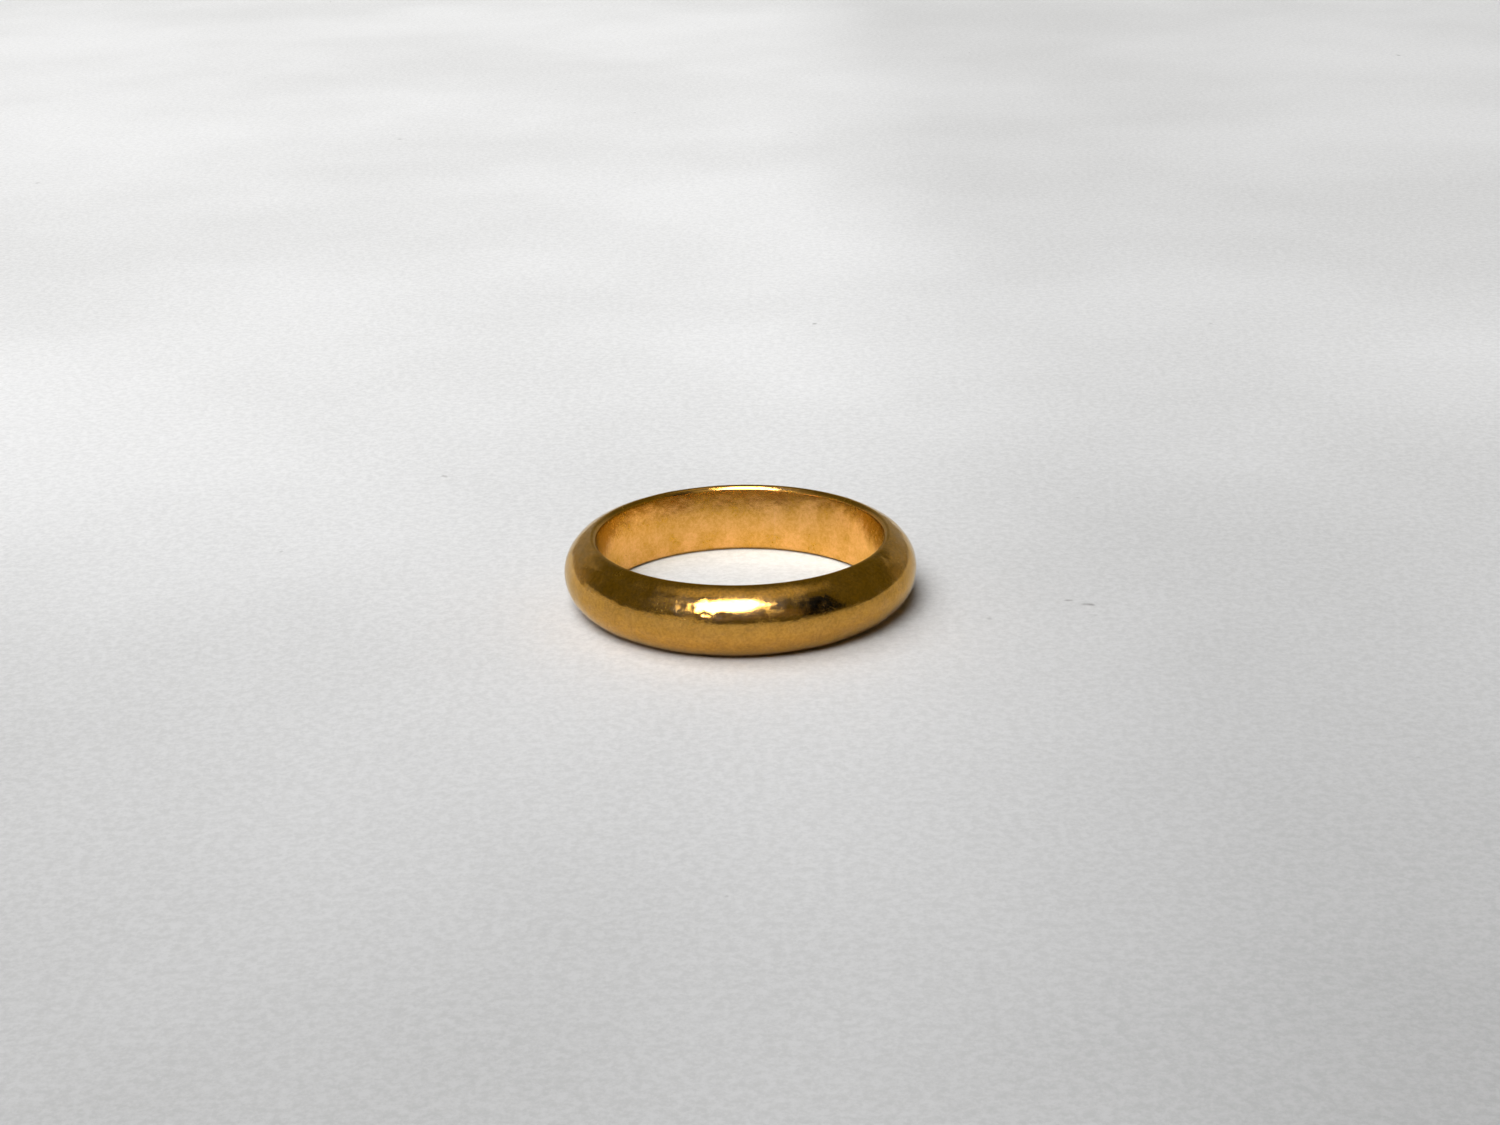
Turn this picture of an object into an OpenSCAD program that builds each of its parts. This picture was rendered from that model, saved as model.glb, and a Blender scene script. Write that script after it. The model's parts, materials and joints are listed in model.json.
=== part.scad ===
// Wedding band: one length of half-round gold wire bent into a hoop, with its two ends butted
// together and joined by a thin film of hard solder. It is plain, polished outside and eased
// along both inside edges.
//
// The origin is the centre of the finger bore, at half the band's width. +Z runs along the bore,
// so a band that lies flat rests on its bottom_edge land at z = -band_w / 2.

/* [Band] */
// Inside diameter, which is the ring size
bore_d = 16.5; // [13:0.1:23]
// Width of the band, along the bore
band_w = 4.1; // [3.4:0.1:8]
// Thickness at the crown of the dome, from the bore outwards
band_t = 1.88; // [1.2:0.02:2.2]

/* [Edges] */
// Radius that eases each inside edge
edge_r = 0.24; // [0.1:0.02:0.4]
// Flat land between each eased edge and the dome
land_w = 0.11; // [0.04:0.01:0.3]

/* [Solder joint] */
// Gap between the butted ends at the middle of the wall, which the solder fills
joint_gap = 0.08; // [0.04:0.01:0.2]
// Place of the joint around the bore, in degrees from +X towards +Y
joint_angle = 75; // [0:5:355]
// Depth of the finished solder below the band's own surface
solder_sink = 0.015; // [0:0.005:0.04]

/* [Hidden] */

// Colour of the wire, a deep yellow gold
wire_colour = [0.84, 0.62, 0.27];
// Colour of the solder, a slightly paler gold
solder_colour = [0.87, 0.73, 0.45];

bore_r = bore_d / 2;
half_w = band_w / 2;
// The dome is one arc from land to land: its rise above the lands and its radius
dome_rise = band_t - edge_r - land_w;
dome_r = (half_w * half_w + dome_rise * dome_rise) / (2 * dome_rise);
dome_centre_r = bore_r + band_t - dome_r;
// Angle that the gap takes at the middle of the wall
joint_sweep = joint_gap / (bore_r + band_t / 2) * 180 / PI;
// How far the cutting shapes reach past the section
overshoot = 1;

$fn = 256;

// Cuts the square inside corner at the top of the section back to the eased edge
module edge_easing(inner_r, half_width) {
    centre = [inner_r + edge_r, half_width - edge_r];
    difference() {
        translate(centre - [edge_r + overshoot, 0])
            square([edge_r + overshoot, edge_r + overshoot]);
        translate(centre)
            circle(r = edge_r);
    }
}

// Half-round section of the band in the plane of the axis, shrunk by inset on every side
module band_section(inset = 0) {
    inner_r = bore_r + inset;
    half_width = half_w - inset;
    difference() {
        intersection() {
            translate([dome_centre_r, 0])
                circle(r = dome_r - inset);
            translate([inner_r, -half_width])
                square([band_t + overshoot, 2 * half_width]);
        }
        for (side = [0, 1])
            mirror([0, side])
                edge_easing(inner_r, half_width);
    }
}

// The hoop: the wire runs all the way round except for the gap at the joint
module shank() {
    color(wire_colour)
        rotate([0, 0, joint_angle + joint_sweep / 2])
            rotate_extrude(angle = 360 - joint_sweep)
                band_section();
}

// The film of hard solder between the two butted ends
module solder_joint() {
    color(solder_colour)
        rotate([0, 0, joint_angle - joint_sweep / 2])
            rotate_extrude(angle = joint_sweep)
                band_section(solder_sink);
}

shank();
solder_joint();
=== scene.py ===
import json
import math

import bpy
import numpy as np
from mathutils import Matrix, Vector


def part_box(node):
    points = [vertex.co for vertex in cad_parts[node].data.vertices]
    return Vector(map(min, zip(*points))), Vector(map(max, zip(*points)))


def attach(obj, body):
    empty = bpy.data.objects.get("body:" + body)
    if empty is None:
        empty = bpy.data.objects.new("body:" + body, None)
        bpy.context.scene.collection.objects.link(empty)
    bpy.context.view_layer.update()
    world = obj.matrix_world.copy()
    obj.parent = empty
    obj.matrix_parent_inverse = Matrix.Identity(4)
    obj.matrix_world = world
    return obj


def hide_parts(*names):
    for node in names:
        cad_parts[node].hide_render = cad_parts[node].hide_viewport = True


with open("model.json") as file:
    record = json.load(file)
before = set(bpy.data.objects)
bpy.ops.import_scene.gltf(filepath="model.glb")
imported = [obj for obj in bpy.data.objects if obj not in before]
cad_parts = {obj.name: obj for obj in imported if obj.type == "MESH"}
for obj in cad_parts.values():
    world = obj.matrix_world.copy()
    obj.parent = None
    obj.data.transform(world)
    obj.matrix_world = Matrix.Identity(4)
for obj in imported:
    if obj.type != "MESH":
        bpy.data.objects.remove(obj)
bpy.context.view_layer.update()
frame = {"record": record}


# ---- Shank ------------------------------------------------------------------------------
# One length of drawn half-round yellow gold wire, bent round a mandrel until its ends meet.
# Its dome is polished and has the small dents and hairlines of years on a hand. Its bore has
# the soft satin of a burnished finish, and both inside edges are eased for comfort.

mounts = {mount["name"]: mount for mount in frame["record"]["mounts"]}
band_low, band_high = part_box("shank")

HALF_WIDTH = (band_high.z - band_low.z) / 2
BORE_RADIUS = mounts["finger_bore"]["dims"]["r_mm"] / 1000
EDGE_RADIUS = HALF_WIDTH - mounts["finger_bore"]["dims"]["length_mm"] / 2000
LAND_WIDTH = 2 * (abs(mounts["bottom_edge"]["pos_m"][1]) - BORE_RADIUS - EDGE_RADIUS)
THICKNESS = 0.00188
OUTER_RADIUS = BORE_RADIUS + THICKNESS

# The joint's place, width and sweep, and the grid: columns round the hoop, rows round the section
JOINT_ANGLE = math.radians(75)
JOINT_WIDTH = 0.00008
JOINT_SWEEP = JOINT_WIDTH / (BORE_RADIUS + THICKNESS / 2)
SHANK_COLUMNS = 768
SECTION_ROWS = 128

# The bore's middle stands in from its edges by its crown, least round most of the hoop and
# greatest about one angle, and it fades between the two over these angles from there. The balance
# is the share of it that is inside the straight wall. Every corner is rounded by about its wear.
BORE_CROWN = (0.00005, 0.000136)
CROWN_ANGLE = math.radians(97)
CROWN_FADE = (math.radians(20), math.radians(46))
CROWN_BALANCE = 0.55
CORNER_WEAR = 0.00005
MILLIMETRE = 0.001


def smooth_step(value, low, high):
    """0 below low, 1 above high, and an S-shaped cubic between them."""
    share = np.clip((value - low) / (high - low), 0, 1)
    return share * share * (3 - 2 * share)


def arc(centre, radius, start, end, count):
    """Points of a circular arc in the section's plane, from one angle to another, in degrees."""
    turn = np.radians(np.linspace(start, end, count))
    return np.stack([centre[0] + radius * np.cos(turn), centre[1] + radius * np.sin(turn)], -1)


# The outline is drawn with this many points in each easing and in the dome, and then walked in
# even steps. Its last rows lie closer where it is curved, by these weights.
EASING_POINTS = 90
DOME_POINTS = 600
OUTLINE_STEPS = 4096
STRAIGHT_CROWDING = 4
CURVED_CROWDING = 17


def half_round_section(rows, crown, sink=0.0):
    """Points round the closed section, their outward normals and their distance from the crown.

    The outline is the bore's straight line, a quarter circle at each inside edge, a short flat
    land, and one arc from land to land for the dome. It is walked anticlockwise from the middle
    of the bore at even steps, where the bore bulges by a parabola of that crown, rounded by a
    narrow Gaussian average, and then sampled again with the points crowded in proportion to the
    root of the curvature. Sink moves it all inwards.
    """
    rise = THICKNESS - EDGE_RADIUS - LAND_WIDTH
    dome_radius = (HALF_WIDTH ** 2 + rise ** 2) / (2 * rise)
    dome_centre = OUTER_RADIUS - dome_radius
    dome_end = math.degrees(math.asin(HALF_WIDTH / dome_radius))
    easing = (BORE_RADIUS + EDGE_RADIUS, HALF_WIDTH - EDGE_RADIUS)
    outline = np.concatenate([
        [[BORE_RADIUS, 0.0]],
        arc((easing[0], -easing[1]), EDGE_RADIUS, 180, 270, EASING_POINTS),
        arc((dome_centre, 0.0), dome_radius, -dome_end, dome_end, DOME_POINTS),
        arc(easing, EDGE_RADIUS, 90, 180, EASING_POINTS),
        [[BORE_RADIUS, 0.0]],
    ])
    walked = np.concatenate([[0], np.cumsum(np.linalg.norm(np.diff(outline, axis=0), axis=1))])
    girth = walked[-1]
    even = np.arange(OUTLINE_STEPS) * girth / OUTLINE_STEPS
    points = np.stack([np.interp(even, walked, outline[:, axis]) for axis in (0, 1)], -1)
    in_bore = 1 - smooth_step(points[:, 0], BORE_RADIUS, BORE_RADIUS + EDGE_RADIUS + LAND_WIDTH)
    points[:, 0] += crown * in_bore * ((points[:, 1] / HALF_WIDTH) ** 2 - CROWN_BALANCE)
    waves = np.fft.fftfreq(OUTLINE_STEPS, girth / OUTLINE_STEPS)
    softening = np.exp(-2 * (np.pi * waves * CORNER_WEAR) ** 2)
    points = np.fft.ifft(np.fft.fft(points, axis=0) * softening[:, None], axis=0).real

    along = np.fft.ifft(np.fft.fft(points, axis=0) * (2j * np.pi * waves)[:, None], axis=0).real
    along /= np.linalg.norm(along, axis=1)[:, None]
    normals = np.stack([along[:, 1], -along[:, 0]], -1)
    heading = np.unwrap(np.arctan2(along[:, 1], along[:, 0]))
    curvature = np.clip(np.gradient(heading, girth / OUTLINE_STEPS), 0, None) * MILLIMETRE
    crowding = np.cumsum(STRAIGHT_CROWDING + CURVED_CROWDING * np.sqrt(curvature))
    crowding = (crowding - crowding[0]) / crowding[-1]
    chosen = np.interp(np.arange(rows) / rows, crowding, even)
    section = np.stack([np.interp(chosen, even, points[:, axis]) for axis in (0, 1)], -1)
    outward = np.stack([np.interp(chosen, even, normals[:, axis]) for axis in (0, 1)], -1)
    return section - sink * outward, outward, chosen - girth / 2, girth


def dent(angle, from_crown, at_angle, at_place, radius, depth, stretch):
    """A bell-shaped hollow: depth times exp(-distance squared / radius squared)."""
    aside = (np.mod(angle - at_angle + np.pi, 2 * np.pi) - np.pi) * OUTER_RADIUS / stretch
    span = (aside ** 2 + (from_crown - at_place) ** 2) / radius ** 2
    return depth * np.exp(-span)


# Places that have been knocked harder: angle in degrees, millimetres above the crown, spread
# in millimetres, and number of dents. The spread round the section is a share of that round the
# hoop.
KNOCKS = (
    (251, 1.20, 0.26, 14),
    (258, 0.92, 0.26, 12),
    (265, 0.86, 0.25, 9),
    (281, 1.20, 0.20, 6),
    (296, 1.10, 0.10, 2),
)
KNOCK_SPREAD_SHARE = 0.5
KNOCK_RADIUS = (0.00009, 0.00020)
KNOCK_DEPTH_RATIO = (0.024, 0.08)
KNOCK_STRETCH = (0.7, 1.5)
# The scuffed patch round each of them is this many times its spread, and longer round the hoop
SCUFF_REACH = 2
SCUFF_STRETCH = 1.4


def scuffing(angle, from_crown):
    """How scuffed each place is, 0 to 1: one soft oval patch at each hard knock."""
    scuffed = np.zeros(np.broadcast(angle, from_crown).shape)
    for degrees, above, spread, _ in KNOCKS:
        at_angle = math.radians(degrees)
        reach = spread * SCUFF_REACH * MILLIMETRE
        patch = dent(angle, from_crown, at_angle, above * MILLIMETRE, reach, 1.0, SCUFF_STRETCH)
        scuffed = np.maximum(scuffed, patch)
    return scuffed


# Slow waves left by bending and hammering: their number, how often they rise round the hoop,
# their greatest slant, the height of one that would rise once, and the share of it that each has
WAVE_COUNT = 14
WAVE_TURNS = (5, 46)
WAVE_SLANT = 1.6 / MILLIMETRE
WAVE_HEIGHT = 0.00006
WAVE_SHARE = (0.2, 1.0)
# Small dents: number, radii, depth to radius, length to width, and greatest distance from the crown
DENT_COUNT = 520
DENT_RADIUS = (0.00007, 0.00026)
DENT_DEPTH_RATIO = (0.010, 0.045)
DENT_STRETCH = (0.6, 1.7)
DENT_REACH = 2.6 * MILLIMETRE
# All wear fades out between these distances from the crown
WEAR_FADE = (2.3 * MILLIMETRE, 2.9 * MILLIMETRE)
WEAR_SEED = 41


def wear_depth(angle, from_crown):
    """How far wear has moved the metal along its normal, in metres, at each place.

    It adds the slow waves left by bending and hammering, sines that close round the hoop, to
    the dents, which are bell-shaped hollows of seeded size and place. All of it fades out from
    the dome to the bore.
    """
    draw = np.random.default_rng(WEAR_SEED)
    moved = np.zeros(np.broadcast(angle, from_crown).shape)
    for _ in range(WAVE_COUNT):
        turns = draw.integers(*WAVE_TURNS)
        slant = draw.uniform(-WAVE_SLANT, WAVE_SLANT)
        height = draw.uniform(*WAVE_SHARE) * WAVE_HEIGHT / turns
        start = draw.uniform(0, 2 * np.pi)
        moved += height * np.sin(turns * angle + slant * from_crown + start)
    for _ in range(DENT_COUNT):
        dent_angle = draw.uniform(0, 2 * np.pi)
        dent_place = draw.uniform(-DENT_REACH, DENT_REACH)
        radius = DENT_RADIUS[0] + (DENT_RADIUS[1] - DENT_RADIUS[0]) * draw.uniform() ** 2
        depth = radius * draw.uniform(*DENT_DEPTH_RATIO)
        stretch = draw.uniform(*DENT_STRETCH)
        moved -= dent(angle, from_crown, dent_angle, dent_place, radius, depth, stretch)
    for degrees, above, spread, count in KNOCKS:
        for _ in range(count):
            dent_angle = math.radians(degrees) + draw.normal() * spread * MILLIMETRE / OUTER_RADIUS
            dent_place = (above + draw.normal() * spread * KNOCK_SPREAD_SHARE) * MILLIMETRE
            radius = draw.uniform(*KNOCK_RADIUS)
            depth = radius * draw.uniform(*KNOCK_DEPTH_RATIO)
            stretch = draw.uniform(*KNOCK_STRETCH)
            moved -= dent(angle, from_crown, dent_angle, dent_place, radius, depth, stretch)
    return moved * (1 - smooth_step(np.abs(from_crown), *WEAR_FADE))


# The satin finish grows from none to full as the metal's face turns this far towards the bore
SATIN_TURN = (0.80, 0.995)


def band_stretch(name, start, sweep, columns, rows, sink=0.0):
    """A closed length of the band: the worn section carried round the bore by an angle.

    Column i stands at start + i / columns of the sweep, and each of its points lies at
    (radius cos angle, radius sin angle, height). The section eases from the full crown to the
    slack one away from the crown's angle. The two ends are flat faces with sharp rims.
    """
    slack = half_round_section(rows, BORE_CROWN[0], sink)[0]
    section, outward, from_crown, girth = half_round_section(rows, BORE_CROWN[1], sink)
    angle = (start + sweep * np.arange(columns + 1) / columns)[:, None]
    aside = np.abs(np.mod(angle - CROWN_ANGLE + np.pi, 2 * np.pi) - np.pi)
    eased = smooth_step(aside, *CROWN_FADE)[:, :, None]
    moved = wear_depth(angle, from_crown[None, :])[:, :, None]
    worn = section + eased * (slack - section) + moved * outward
    radius, height = worn[:, :, 0], worn[:, :, 1]
    places = np.stack([radius * np.cos(angle), radius * np.sin(angle), height], -1)

    column, row = np.meshgrid(np.arange(columns), np.arange(rows), indexing="ij")
    next_row = (row + 1) % rows
    quads = np.stack([
        column * rows + row,
        (column + 1) * rows + row,
        (column + 1) * rows + next_row,
        column * rows + next_row,
    ], -1).reshape(-1, 4)
    first_end = np.arange(rows)
    last_end = columns * rows + np.arange(rows)
    mesh = bpy.data.meshes.new(name)
    faces = [*quads.tolist(), first_end.tolist(), last_end[::-1].tolist()]
    mesh.from_pydata(places.reshape(-1, 3).tolist(), [], faces)

    smooth = np.ones(len(faces), bool)
    smooth[-2:] = False
    mesh.polygons.foreach_set("use_smooth", smooth)
    ends = np.zeros(len(mesh.edges) * 2, np.int32)
    mesh.edges.foreach_get("vertices", ends)
    ends = ends.reshape(-1, 2)
    on_rim = (ends < rows).all(1) | (ends >= columns * rows).all(1)
    mesh.attributes.new("sharp_edge", "BOOLEAN", "EDGE").data.foreach_set("value", on_rim)

    # The wire's own map, in millimetres: how far along the wire, and how far round its section
    along_wire = angle[:, 0] * OUTER_RADIUS / MILLIMETRE
    round_wire = np.append(from_crown, from_crown[0] + girth) / MILLIMETRE
    corners = np.stack([
        np.stack([along_wire[column], round_wire[row]], -1),
        np.stack([along_wire[column + 1], round_wire[row]], -1),
        np.stack([along_wire[column + 1], round_wire[row + 1]], -1),
        np.stack([along_wire[column], round_wire[row + 1]], -1),
    ], 2).reshape(-1, 2)
    caps = np.zeros((2 * rows, 2))
    mesh.uv_layers.new(name="wire").data.foreach_set("uv", np.concatenate([corners, caps]).ravel())

    # How much of the bore's satin finish each point has, from none on the dome to all in the bore
    satin = np.tile(smooth_step(-outward[:, 0], *SATIN_TURN), columns + 1)
    mesh.attributes.new("satin", "FLOAT", "POINT").data.foreach_set("value", satin)
    # How scuffed each point is by the hard knocks
    scuffs = scuffing(angle, from_crown[None, :]).ravel()
    mesh.attributes.new("scuffs", "FLOAT", "POINT").data.foreach_set("value", scuffs)
    piece = bpy.data.objects.new(name, mesh)
    bpy.context.scene.collection.objects.link(piece)
    return piece


def add_node(tree, kind, **settings):
    """A new node in the tree, with its own settings."""
    node = tree.nodes.new(kind)
    for name, value in settings.items():
        setattr(node, name, value)
    return node


def new_group(name, inputs, outputs):
    """An empty node group with named float or vector inputs and outputs, and its end nodes."""
    group = bpy.data.node_groups.new(name, "ShaderNodeTree")
    for label, kind in inputs:
        group.interface.new_socket(name=label, in_out="INPUT", socket_type=kind)
    for label, kind in outputs:
        group.interface.new_socket(name=label, in_out="OUTPUT", socket_type=kind)
    return group, add_node(group, "NodeGroupInput"), add_node(group, "NodeGroupOutput")


def calculate(tree, operation, first, second):
    """The output of a Math node; either side is a socket or a number."""
    node = add_node(tree, "ShaderNodeMath", operation=operation)
    for socket, value in zip(node.inputs, (first, second)):
        if isinstance(value, (int, float)):
            socket.default_value = value
        else:
            tree.links.new(value, socket)
    return node.outputs[0]


def remap(tree, value, low, high, new_low=0.0, new_high=1.0):
    """The output of a smooth Map Range node."""
    node = add_node(tree, "ShaderNodeMapRange", interpolation_type="SMOOTHSTEP")
    tree.links.new(value, node.inputs["Value"])
    labels = ("From Min", "From Max", "To Min", "To Max")
    for label, number in zip(labels, (low, high, new_low, new_high)):
        node.inputs[label].default_value = number
    return node.outputs["Result"]


def blend(tree, share, first, second):
    """The colour that lies between two, each a socket or a tuple, at the given share."""
    node = add_node(tree, "ShaderNodeMix", data_type="RGBA")
    tree.links.new(share, node.inputs["Factor"])
    # Inputs 6 and 7 and output 2 are the node's colours; its other types share their names
    for place, colour in ((6, first), (7, second)):
        if isinstance(colour, tuple):
            node.inputs[place].default_value = (*colour, 1.0)
        else:
            tree.links.new(colour, node.inputs[place])
    return node.outputs[2]


def noise(tree, vector, scale, detail=2.0, roughness=0.5, dimensions="3D"):
    """The value of a Noise Texture on the given coordinates."""
    node = add_node(tree, "ShaderNodeTexNoise", noise_dimensions=dimensions)
    tree.links.new(vector, node.inputs["Vector"])
    node.inputs["Scale"].default_value = scale
    node.inputs["Detail"].default_value = detail
    node.inputs["Roughness"].default_value = roughness
    return node.outputs[0]


# Hairlines: slant in degrees, length and width in millimetres, and the noise that is cut to lines
THREADS = ((4, 2.2, 0.045), (-17, 1.5, 0.035), (38, 1.1, 0.04), (84, 0.9, 0.04))
THREAD_SHIFT = 1.7
THREAD_NOISE = (1.0, 1.0, 0.4)
THREAD_CUT = (0.60, 0.74)
# They come in patches, and fade to a quarter between them
PATCH_NOISE = (0.8, 3.0, 0.6)
PATCH_SHARE = (0.38, 0.62, 0.25, 1.0)


def hairlines_group():
    """Fine scratches: noise drawn out into long threads at four slants, cut to thin lines.

    Vector is the wire's own map in millimetres. Lines is 1 inside a scratch, and fades out
    where the patches say that the metal has been rubbed clean.
    """
    group, given, result = new_group(
        "hairlines",
        [("Vector", "NodeSocketVector"), ("Amount", "NodeSocketFloat")],
        [("Lines", "NodeSocketFloat")],
    )
    lines = None
    for slant, length, width in THREADS:
        turned = add_node(group, "ShaderNodeMapping")
        turned.inputs["Rotation"].default_value[2] = math.radians(slant)
        turned.inputs["Location"].default_value[0] = slant * THREAD_SHIFT
        group.links.new(given.outputs["Vector"], turned.inputs["Vector"])
        drawn_out = add_node(group, "ShaderNodeMapping")
        drawn_out.inputs["Scale"].default_value = (1 / length, 1 / width, 1)
        group.links.new(turned.outputs["Vector"], drawn_out.inputs["Vector"])
        thread = noise(group, drawn_out.outputs["Vector"], *THREAD_NOISE, "2D")
        thread = remap(group, thread, *THREAD_CUT)
        lines = thread if lines is None else calculate(group, "MAXIMUM", lines, thread)
    patches = remap(group, noise(group, given.outputs["Vector"], *PATCH_NOISE, "2D"), *PATCH_SHARE)
    lines = calculate(group, "MULTIPLY", lines, patches)
    lines = calculate(group, "MULTIPLY", lines, given.outputs["Amount"])
    group.links.new(lines, result.inputs["Lines"])
    return group


# Each noise of the bore's finish: patches in a metre, octaves, and each octave's share of the
# last. Each share is the noise's low and high, and what they become. Heights are millimetres.
SWELL_NOISE = (750.0, 2.0, 0.5)
SWELL_SHARE = (0.25, 0.75, 0.0, 0.6)
SWELL_HEIGHT = 0.050
BLOTCH_NOISE = (5000.0, 4.0, 0.8)
BLOTCH_SHARE = (0.36, 0.64, 0.0, 0.4)
PIT_NOISE = (5500.0, 1.0, 0.5)
PIT_CUT = (0.77, 0.83)
GRAIN_NOISE = (7000.0, 3.0, 0.6)
GRAIN_HEIGHT = 0.0042


def satin_group():
    """The bore's burnished finish: a fine grain, soft blotches under it and a few small pits.

    Relief is the height of the grain and of the blotches' swell, in millimetres.
    """
    group, given, result = new_group(
        "burnished satin",
        [("Vector", "NodeSocketVector")],
        [
            ("Blotches", "NodeSocketFloat"),
            ("Pits", "NodeSocketFloat"),
            ("Relief", "NodeSocketFloat"),
        ],
    )
    place = given.outputs["Vector"]
    swell = noise(group, place, *SWELL_NOISE)
    soft_blotches = remap(group, swell, *SWELL_SHARE)
    fine_blotches = remap(group, noise(group, place, *BLOTCH_NOISE), *BLOTCH_SHARE)
    blotches = calculate(group, "ADD", soft_blotches, fine_blotches)
    group.links.new(blotches, result.inputs["Blotches"])
    specks = noise(group, place, *PIT_NOISE)
    group.links.new(remap(group, specks, *PIT_CUT), result.inputs["Pits"])
    grain = calculate(group, "MULTIPLY", noise(group, place, *GRAIN_NOISE), GRAIN_HEIGHT)
    swell = calculate(group, "MULTIPLY", swell, SWELL_HEIGHT)
    group.links.new(calculate(group, "ADD", grain, swell), result.inputs["Relief"])
    return group


# The dome's wear, in the same terms: its mottle, its dulling, its film of oil and its ripples
FINE_NOISE = (6000.0, 4.0, 0.8)
FINE_SHARE = (0.36, 0.64, 0.0, 0.7)
BROAD_NOISE = (1200.0, 2.0, 0.5)
BROAD_SHARE = (0.30, 0.70, 0.0, 0.3)
HAZE_NOISE = (700.0, 4.0, 0.6)
HAZE_SPAN = (0.35, 0.70)
FILM_NOISE = (1700.0, 4.0, 0.65)
FILM_SPAN = (0.3, 0.7)
RAGGED_NOISE = (4500.0, 2.0, 0.6)
RAGGED_HEIGHT = 0.010
RUBBED_NOISE = (5200.0, 3.0, 0.65)
RUBBED_HEIGHT = 0.0048


def worn_group():
    """A polished face after years of wear, drawn in the object's own coordinates.

    Patina is a mottle of fine and broad marks, Haze is how much the polish has dulled, Film is
    how thick the trace of skin oil lies, and Relief is the height of the ripples left by
    rubbing, in millimetres, far deeper where Scuffs is high.
    """
    group, given, result = new_group(
        "worn polish",
        [("Vector", "NodeSocketVector"), ("Scuffs", "NodeSocketFloat")],
        [
            ("Patina", "NodeSocketFloat"),
            ("Haze", "NodeSocketFloat"),
            ("Film", "NodeSocketFloat"),
            ("Relief", "NodeSocketFloat"),
        ],
    )
    place = given.outputs["Vector"]
    fine_marks = remap(group, noise(group, place, *FINE_NOISE), *FINE_SHARE)
    broad_marks = remap(group, noise(group, place, *BROAD_NOISE), *BROAD_SHARE)
    group.links.new(calculate(group, "ADD", fine_marks, broad_marks), result.inputs["Patina"])
    haze = remap(group, noise(group, place, *HAZE_NOISE), *HAZE_SPAN)
    group.links.new(haze, result.inputs["Haze"])
    film = remap(group, noise(group, place, *FILM_NOISE), *FILM_SPAN)
    group.links.new(film, result.inputs["Film"])
    ragged = noise(group, place, *RAGGED_NOISE)
    ragged = calculate(group, "MULTIPLY", ragged, given.outputs["Scuffs"])
    ragged = calculate(group, "MULTIPLY", ragged, RAGGED_HEIGHT)
    rubbed = calculate(group, "MULTIPLY", noise(group, place, *RUBBED_NOISE), RUBBED_HEIGHT)
    group.links.new(calculate(group, "ADD", ragged, rubbed), result.inputs["Relief"])
    return group


hairlines = hairlines_group()
burnished_satin = satin_group()
worn_polish = worn_group()

# The gold's tint at grazing views, and how much darker than polished metal the dome's mottle is
EDGE_TINT = (0.90, 0.83, 0.62)
TARNISH = 0.64
# Painted shade and painted light: the bore's fixed darker colour where it shows in another part
# of the gold, and the fixed colour of the light that it throws onto the board
PAINTED_SHADE_IN_GOLD = (0.40, 0.27, 0.02)
PAINTED_BOUNCE_ON_BOARD = (0.62, 0.50, 0.36)
# The oil film's least and greatest weight, and the hairlines' depth in millimetres
FILM_WEIGHT = (0.12, 0.45)
FILM_ROUGHNESS = 0.30
HAIRLINE_DEPTH = 0.0006
# How much rougher haze, a hairline, and the bore's brightest and dullest blotches make the metal
HAZE_ROUGHNESS = 0.06
HAIRLINE_ROUGHNESS = 0.16
BLOTCH_ROUGHNESS = (-0.04, 0.06)


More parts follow.
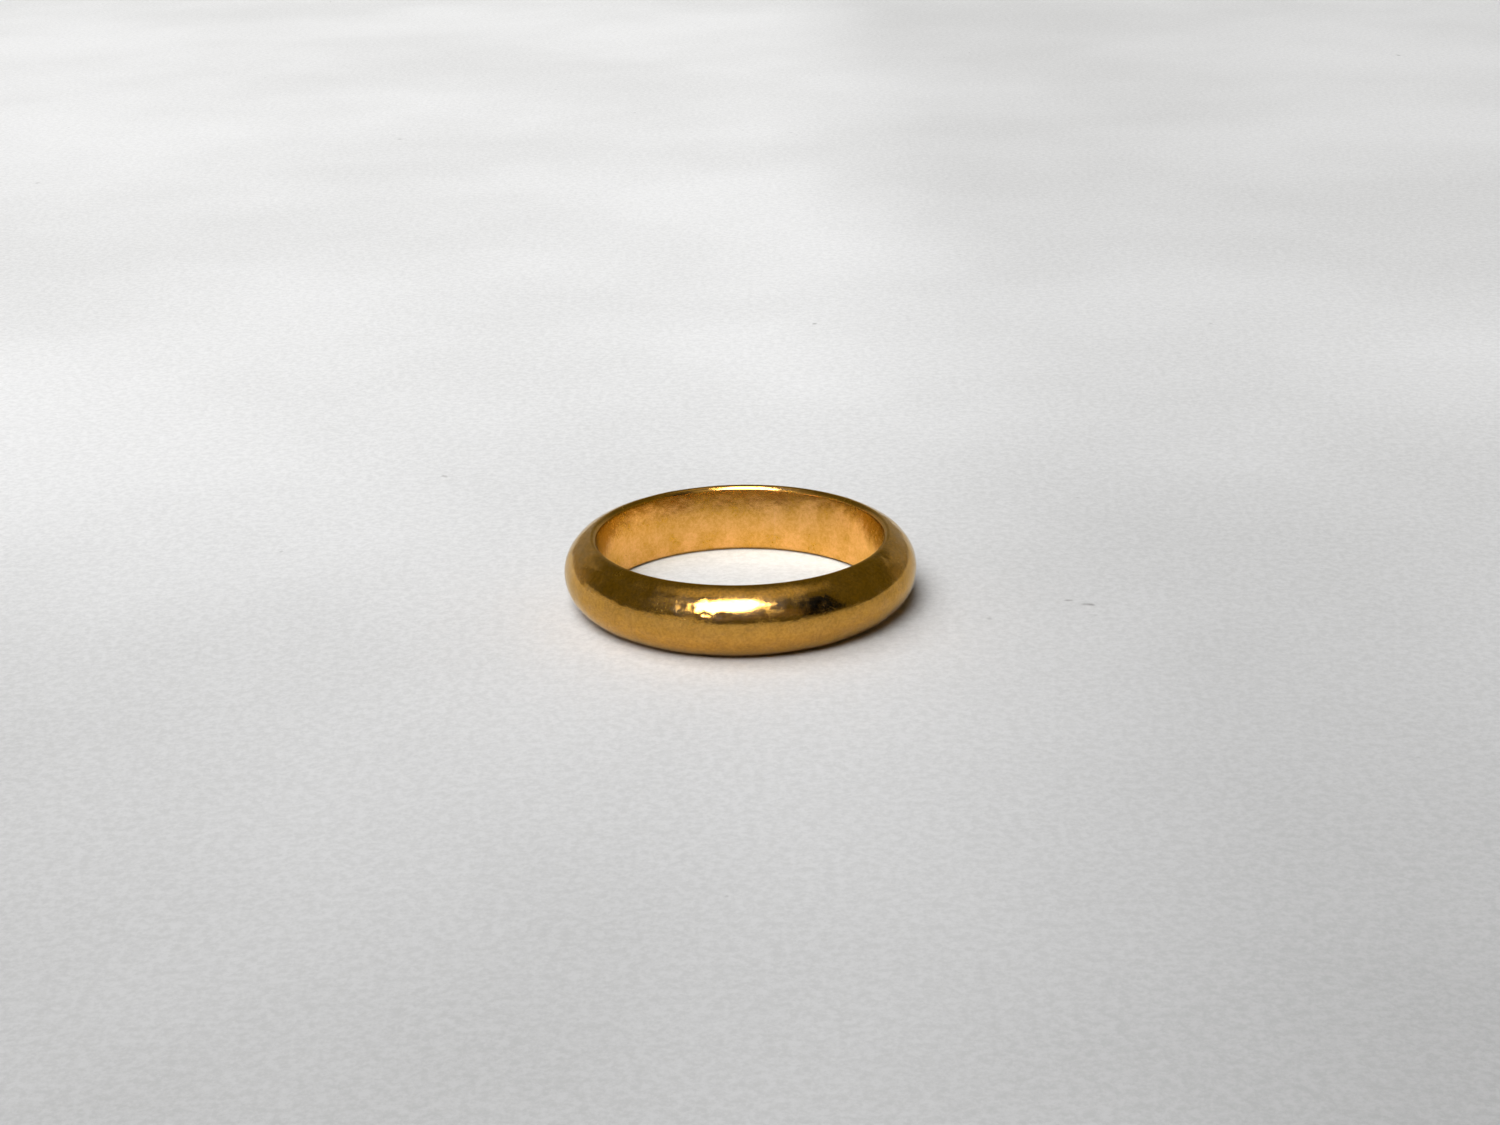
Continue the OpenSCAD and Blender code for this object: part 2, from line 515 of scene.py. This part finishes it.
def gold_material(name, colours, polish, satin_polish):
    """Gold that is polished on the dome and satin in the bore.

    Its four colours are the polished dome's, the brushed bore's, and those of the bore's dull
    blotches and of its pits. Polish and satin_polish are the two roughnesses. Haze and hairlines
    roughen the dome, and the ripples and the grain are bumps.
    """
    polished, brushed, dull, pitted = colours
    material = bpy.data.materials.new(name)
    material.use_nodes = True
    tree = material.node_tree
    shader = tree.nodes["Principled BSDF"]
    shader.inputs["Metallic"].default_value = 1.0
    shader.inputs["Specular Tint"].default_value = (*EDGE_TINT, 1.0)
    shader.inputs["Coat Roughness"].default_value = FILM_ROUGHNESS

    wire_map = add_node(tree, "ShaderNodeUVMap", uv_map="wire").outputs["UV"]
    place = add_node(tree, "ShaderNodeTexCoord").outputs["Object"]
    satin = add_node(tree, "ShaderNodeAttribute", attribute_name="satin").outputs["Fac"]
    scuffs = add_node(tree, "ShaderNodeAttribute", attribute_name="scuffs").outputs["Fac"]
    rays = add_node(tree, "ShaderNodeLightPath")

    scratched = add_node(tree, "ShaderNodeGroup", node_tree=hairlines)
    scratched.inputs["Amount"].default_value = 1.0
    tree.links.new(wire_map, scratched.inputs["Vector"])
    finish = add_node(tree, "ShaderNodeGroup", node_tree=burnished_satin)
    tree.links.new(place, finish.inputs["Vector"])
    worn = add_node(tree, "ShaderNodeGroup", node_tree=worn_polish)
    tree.links.new(place, worn.inputs["Vector"])
    tree.links.new(scuffs, worn.inputs["Scuffs"])

    in_bore = blend(tree, finish.outputs["Blotches"], brushed, dull)
    in_bore = blend(tree, finish.outputs["Pits"], in_bore, pitted)
    # Painted shade: reflections of the bore in the gold get a fixed darker colour, and the light it
    # bounces onto the board gets a fixed, less golden colour
    in_bore = blend(tree, rays.outputs["Is Glossy Ray"], in_bore, PAINTED_SHADE_IN_GOLD)
    in_bore = blend(tree, rays.outputs["Is Diffuse Ray"], in_bore, PAINTED_BOUNCE_ON_BOARD)
    tarnished = tuple(channel * TARNISH for channel in polished)
    on_dome = blend(tree, worn.outputs["Patina"], tarnished, polished)
    tree.links.new(blend(tree, satin, on_dome, in_bore), shader.inputs["Base Color"])

    dome_rough = remap(tree, worn.outputs["Haze"], 0.0, 1.0, polish, polish + HAZE_ROUGHNESS)
    line_rough = calculate(tree, "MULTIPLY", scratched.outputs["Lines"], HAIRLINE_ROUGHNESS)
    dome_rough = calculate(tree, "ADD", dome_rough, line_rough)
    bore_limits = [satin_polish + change for change in BLOTCH_ROUGHNESS]
    bore_rough = remap(tree, finish.outputs["Blotches"], 0.0, 1.0, *bore_limits)
    # Inputs 2 and 3 and output 0 are the node's plain numbers
    rough = add_node(tree, "ShaderNodeMix", data_type="FLOAT")
    tree.links.new(satin, rough.inputs["Factor"])
    tree.links.new(dome_rough, rough.inputs[2])
    tree.links.new(bore_rough, rough.inputs[3])
    tree.links.new(rough.outputs[0], shader.inputs["Roughness"])

    off_satin = calculate(tree, "SUBTRACT", 1.0, satin)
    film = remap(tree, worn.outputs["Film"], 0.0, 1.0, *FILM_WEIGHT)
    tree.links.new(calculate(tree, "MULTIPLY", film, off_satin), shader.inputs["Coat Weight"])

    cut = calculate(tree, "MULTIPLY", scratched.outputs["Lines"], -HAIRLINE_DEPTH)
    dome_relief = calculate(tree, "ADD", cut, worn.outputs["Relief"])
    dome_relief = calculate(tree, "MULTIPLY", dome_relief, off_satin)
    bore_relief = calculate(tree, "MULTIPLY", finish.outputs["Relief"], satin)
    bump = add_node(tree, "ShaderNodeBump")
    bump.inputs["Distance"].default_value = MILLIMETRE
    tree.links.new(calculate(tree, "ADD", dome_relief, bore_relief), bump.inputs["Height"])
    tree.links.new(bump.outputs["Normal"], shader.inputs["Normal"])
    return material


YELLOW_GOLD = (0.64, 0.328, 0.053)
BRUSHED_GOLD = (0.90, 0.465, 0.15)
DULL_GOLD = (0.58, 0.295, 0.03)
PITTED_GOLD = (0.30, 0.14, 0.04)
POLISH_ROUGHNESS = 0.06
SATIN_ROUGHNESS = 0.22

shank = band_stretch(
    "half_round_shank",
    JOINT_ANGLE + JOINT_SWEEP / 2,
    2 * math.pi - JOINT_SWEEP,
    SHANK_COLUMNS,
    SECTION_ROWS,
)
shank_colours = (YELLOW_GOLD, BRUSHED_GOLD, DULL_GOLD, PITTED_GOLD)
shank.data.materials.append(
    gold_material("yellow gold", shank_colours, POLISH_ROUGHNESS, SATIN_ROUGHNESS)
)
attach(shank, "root")
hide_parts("shank")


# ---- Solder joint -----------------------------------------------------------------------
# A film of hard gold solder drawn by heat into the butt between the wire's two ends, then
# filed and polished with the band. It is a shade paler, and lies about two microns low.

SOLDER_SINK = 0.000002
SOLDER_COLUMNS = 4
PALE_GOLD = (0.66, 0.36, 0.085)
BRUSHED_PALE_GOLD = (0.90, 0.475, 0.165)
DULL_PALE_GOLD = (0.59, 0.31, 0.045)
SOLDER_POLISH = 0.08
SOLDER_SATIN = 0.235

solder = band_stretch(
    "solder_film",
    JOINT_ANGLE - JOINT_SWEEP / 2,
    JOINT_SWEEP,
    SOLDER_COLUMNS,
    SECTION_ROWS,
    SOLDER_SINK,
)
solder_colours = (PALE_GOLD, BRUSHED_PALE_GOLD, DULL_PALE_GOLD, PITTED_GOLD)
solder.data.materials.append(
    gold_material("gold solder", solder_colours, SOLDER_POLISH, SOLDER_SATIN)
)
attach(solder, "root")
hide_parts("solder_joint")


# ---- Board ------------------------------------------------------------------------------
# A large sheet of pale matte board that the band lies on. It is stage, not part of the band.

BOARD_REACH = 1.5
BOARD_COLOUR = (0.855, 0.85, 0.825)
BOARD_SHADE = (0.66, 0.655, 0.63)
BOARD_SPECK = (0.40, 0.39, 0.37)
BOARD_ROUGHNESS = 0.85
BOARD_GLOSS = 0.2
# Painted shade: the board's colour darkens by these factors, over these distances in metres:
# towards the front, and towards the right
PAINTED_FRONT_SHADE = 0.62
PAINTED_FRONT_SHADE_SPAN = (-0.070, 0.055)
PAINTED_RIGHT_SHADE = 0.85
PAINTED_RIGHT_SHADE_SPAN = (0.0, 0.028)
# Its fibres, clouds and specks of dust, in the terms of the gold's noises
FIBRE_NOISE = (2000.0, 5.0, 0.82)
FIBRE_SHARE = (0.36, 0.64, 0.0, 0.55)
CLOUD_NOISE = (16.0, 4.0, 0.55)
CLOUD_SHARE = (0.32, 0.68, 0.0, 0.45)
SPECK_NOISE = (330.0, 3.0, 0.6)
SPECK_CUT = (0.735, 0.80)


def add_board():
    """A flat square of board under the band, faintly mottled as its fibres are.

    Its tone is the sum of the fibres and the clouds, times painted shade: one fall to the front
    and one to the right.
    """
    reach = BOARD_REACH
    height = band_low.z
    corners = [(x * reach, y * reach, height) for x, y in ((-1, -1), (1, -1), (1, 1), (-1, 1))]
    mesh = bpy.data.meshes.new("board")
    mesh.from_pydata(corners, [], [(0, 1, 2, 3)])
    board = bpy.data.objects.new("board", mesh)
    bpy.context.scene.collection.objects.link(board)

    material = bpy.data.materials.new("pale board")
    material.use_nodes = True
    tree = material.node_tree
    shader = tree.nodes["Principled BSDF"]
    shader.inputs["Roughness"].default_value = BOARD_ROUGHNESS
    shader.inputs["Specular IOR Level"].default_value = BOARD_GLOSS
    place = add_node(tree, "ShaderNodeTexCoord").outputs["Object"]
    fibres = remap(tree, noise(tree, place, *FIBRE_NOISE), *FIBRE_SHARE)
    clouds = remap(tree, noise(tree, place, *CLOUD_NOISE), *CLOUD_SHARE)
    mottle = calculate(tree, "ADD", fibres, clouds)
    specks = remap(tree, noise(tree, place, *SPECK_NOISE), *SPECK_CUT)
    tone = blend(tree, mottle, BOARD_SHADE, BOARD_COLOUR)
    tone = blend(tree, specks, tone, BOARD_SPECK)
    split = add_node(tree, "ShaderNodeSeparateXYZ")
    tree.links.new(place, split.inputs[0])
    # Painted shade: the board's colour is darkened towards the front and towards the right
    painted_front_shade = remap(tree, split.outputs["Y"], *PAINTED_FRONT_SHADE_SPAN, PAINTED_FRONT_SHADE, 1.0)
    right = remap(tree, split.outputs["X"], *PAINTED_RIGHT_SHADE_SPAN, 1.0, PAINTED_RIGHT_SHADE)
    painted_shade_tone = add_node(tree, "ShaderNodeVectorMath", operation="SCALE")
    tree.links.new(tone, painted_shade_tone.inputs[0])
    tree.links.new(calculate(tree, "MULTIPLY", painted_front_shade, right), painted_shade_tone.inputs["Scale"])
    tree.links.new(painted_shade_tone.outputs[0], shader.inputs["Base Color"])
    mesh.materials.append(material)


add_board()


# ---- Studio -----------------------------------------------------------------------------
# Flat panels hung round the band, which the camera doesn't see. A soft one in front and one
# overhead light only the board. The others only show in the gold: a window with its sill and
# curtain in front, a pale card at the left, two pale walls behind, and a black cloth at the right.

PANEL_DISTANCE = 2.5
WALL_DISTANCE = 2.6
FAR_PANEL_DISTANCE = 2.75
CARD_DISTANCE = 0.9
CLOTH_DISTANCE = 0.35
DAYLIGHT = (0.97, 0.98, 1.02)
# Each panel: name, distance, colour, strength, whether it lights the board rather than shows in
# the gold, and corners as degrees to the right of the front and degrees of elevation
PANELS = (
    ("window", PANEL_DISTANCE, DAYLIGHT, 24.0, False,
     ((-34, 69), (15, 71), (21, 53), (3, 38), (-24, 29), (-34, 33), (-39, 52))),
    ("daylight", PANEL_DISTANCE, DAYLIGHT, 9.1, True,
     ((-42, 66), (3, 68), (10, 49), (-5, 35), (-42, 32))),
    ("overhead", PANEL_DISTANCE, DAYLIGHT, 3.1, True,
     ((-60, 52), (-10, 80), (170, 76), (-140, 46), (-100, 38))),
    ("sill", FAR_PANEL_DISTANCE, (1.0, 0.83, 0.52), 0.20, False,
     ((-40, 9), (60, 9), (60, 20), (26, 36), (2, 34), (-22, 26), (-40, 27))),
    ("curtain", FAR_PANEL_DISTANCE, (1.0, 0.92, 0.40), 0.23, False,
     ((-72, 40), (-30, 36), (-24, 76), (-64, 76))),
    ("card", CARD_DISTANCE, (1.0, 0.99, 0.96), 0.62, False,
     ((-118, -3), (-24, -3), (-24, 12), (-42, 12), (-72, 6), (-118, 7))),
    ("left wall", WALL_DISTANCE, (1.0, 0.97, 0.92), 0.36, False,
     ((-172, 6), (-134, 6), (-134, 32), (-172, 24))),
    ("right wall", WALL_DISTANCE, (1.0, 0.97, 0.92), 0.36, False,
     ((172, 4), (134, 4), (134, 26), (172, 22))),
    ("black cloth", CLOTH_DISTANCE, (0.0, 0.0, 0.0), 0.0, False,
     ((40, 5), (67, 5), (67, 50), (46, 50))),
)


def toward(azimuth, elevation):
    """The unit vector at that azimuth, 0 in front and positive to the right, and elevation."""
    azimuth, elevation = math.radians(azimuth), math.radians(elevation)
    level = math.cos(elevation)
    return np.array([level * math.sin(azimuth), -level * math.cos(azimuth), math.sin(elevation)])


def glowing_cloth(name, colour, strength):
    """A material that sends back no light, and gives out its own."""
    material = bpy.data.materials.new(name)
    material.use_nodes = True
    shader = material.node_tree.nodes["Principled BSDF"]
    shader.inputs["Base Color"].default_value = (0.0, 0.0, 0.0, 1.0)
    shader.inputs["Roughness"].default_value = 1.0
    shader.inputs["Specular IOR Level"].default_value = 0.0
    shader.inputs["Emission Color"].default_value = (*colour, 1.0)
    shader.inputs["Emission Strength"].default_value = strength
    return material


def hang_panel(name, distance, colour, strength, lights_board, corners):
    """A flat panel facing the band, cut by the plane at that distance along its middle.

    Each corner lies where its direction meets the plane. A panel throws no shadow.
    """
    rays = np.array([toward(*corner) for corner in corners])
    facing = rays.mean(0) / np.linalg.norm(rays.mean(0))
    places = rays * (distance / (rays @ facing))[:, None]
    mesh = bpy.data.meshes.new(name)
    mesh.from_pydata(places.tolist(), [], [list(range(len(corners)))])
    mesh.materials.append(glowing_cloth(name, colour, strength))
    panel = bpy.data.objects.new(name, mesh)
    panel.visible_camera = False
    panel.visible_diffuse = lights_board
    panel.visible_glossy = not lights_board
    panel.visible_shadow = False
    bpy.context.scene.collection.objects.link(panel)


for panel_settings in PANELS:
    hang_panel(*panel_settings)

ROOM_COLOUR = (0.138, 0.127, 0.022)
WALL_COLOUR = (0.38, 0.34, 0.26)
CEILING_COLOUR = (0.63, 0.60, 0.50)
BACKDROP_COLOUR = (0.74, 0.74, 0.735)
# What the board and the other matte surfaces receive from the room
AMBIENT_COLOUR = (0.035, 0.030, 0.024)
# The wall fades out upwards and comes in behind the band, both over these spans of the
# direction's parts, and it is dimmer at the right. The ceiling comes in overhead, and is dimmer
# towards the back.
WALL_TOP = (0.10, 0.58)
WALL_BEHIND = (0.30, 0.60)
WALL_RIGHT = (0.0, 0.6)
WALL_RIGHT_DIM = 0.66
CEILING_RISE = (0.84, 0.97)
CEILING_BACK = (0.10, 0.45)
CEILING_BACK_DIM = 0.25


def add_room():
    """A dim room: dark walls, paler low down behind the band and overhead, pale to the camera."""
    world = bpy.data.worlds.new("room")
    bpy.context.scene.world = world
    world.use_nodes = True
    tree = world.node_tree
    output = tree.nodes["World Output"]
    background = tree.nodes["Background"]
    direction = add_node(tree, "ShaderNodeTexCoord").outputs["Generated"]
    split = add_node(tree, "ShaderNodeSeparateXYZ")
    tree.links.new(direction, split.inputs[0])
    low = remap(tree, split.outputs["Z"], *WALL_TOP, 1.0, 0.0)
    behind = remap(tree, split.outputs["Y"], *WALL_BEHIND)
    sideways = remap(tree, split.outputs["X"], *WALL_RIGHT, 1.0, WALL_RIGHT_DIM)
    behind = calculate(tree, "MULTIPLY", behind, sideways)
    overhead = remap(tree, split.outputs["Z"], *CEILING_RISE)
    backwards = remap(tree, split.outputs["Y"], *CEILING_BACK, 1.0, CEILING_BACK_DIM)
    overhead = calculate(tree, "MULTIPLY", overhead, backwards)

    room = blend(tree, calculate(tree, "MULTIPLY", low, behind), ROOM_COLOUR, WALL_COLOUR)
    room = blend(tree, overhead, room, CEILING_COLOUR)
    rays = add_node(tree, "ShaderNodeLightPath")
    room = blend(tree, rays.outputs["Is Diffuse Ray"], room, AMBIENT_COLOUR)
    room = blend(tree, rays.outputs["Is Camera Ray"], room, BACKDROP_COLOUR)
    tree.links.new(room, background.inputs["Color"])
    tree.links.new(background.outputs[0], output.inputs["Surface"])


add_room()

BACK_LIGHT_SIZE = 0.2
BACK_LIGHT_POWER = 0.05
BACK_LIGHT_PLACE = (0.0, 0.28, 0.22)


def add_back_light():
    """A small overhead light behind the band that lifts the far side of the board."""
    data = bpy.data.lights.new("back light", "AREA")
    data.size = BACK_LIGHT_SIZE
    data.energy = BACK_LIGHT_POWER
    light = bpy.data.objects.new("back light", data)
    light.location = BACK_LIGHT_PLACE
    light.visible_glossy = False
    bpy.context.scene.collection.objects.link(light)


add_back_light()
bpy.context.scene.view_settings.view_transform = "Standard"


# ---- Camera -----------------------------------------------------------------------------
# A short lens held in front of the band by hand, so it looks down and is rolled a little.

CAMERA_DISTANCE = 0.1402
CAMERA_ELEVATION = math.radians(20.5)
CAMERA_ROLL = math.radians(1.0)
CAMERA_LENS = 58.3
# The view is centred this far right of the bore's centre, and this far above it
AIM_RIGHT = 0.00055
AIM_UP = 0.00018
NEAREST_SEEN = 0.001
FARTHEST_SEEN = 20.0


def add_camera():
    """A camera at its distance and elevation, turned about its own axis by the roll."""
    sine, cosine = math.sin(CAMERA_ELEVATION), math.cos(CAMERA_ELEVATION)
    place = np.array([0.0, -cosine, sine]) * CAMERA_DISTANCE
    aim = np.array([AIM_RIGHT, sine * AIM_UP, cosine * AIM_UP])
    back = (place - aim) / np.linalg.norm(place - aim)
    level = np.cross([0.0, 0.0, 1.0], back)
    level /= np.linalg.norm(level)
    upright = np.cross(back, level)
    right = level * math.cos(CAMERA_ROLL) - upright * math.sin(CAMERA_ROLL)
    up = upright * math.cos(CAMERA_ROLL) + level * math.sin(CAMERA_ROLL)
    data = bpy.data.cameras.new("camera")
    data.lens = CAMERA_LENS
    data.clip_start = NEAREST_SEEN
    data.clip_end = FARTHEST_SEEN
    camera = bpy.data.objects.new("camera", data)
    bpy.context.scene.collection.objects.link(camera)
    rows = [[*axes, 0.0] for axes in (right, up, back)]
    camera.matrix_world = Matrix.Translation(place) @ Matrix([*rows, [0, 0, 0, 1]]).transposed()
    bpy.context.scene.camera = camera


add_camera()
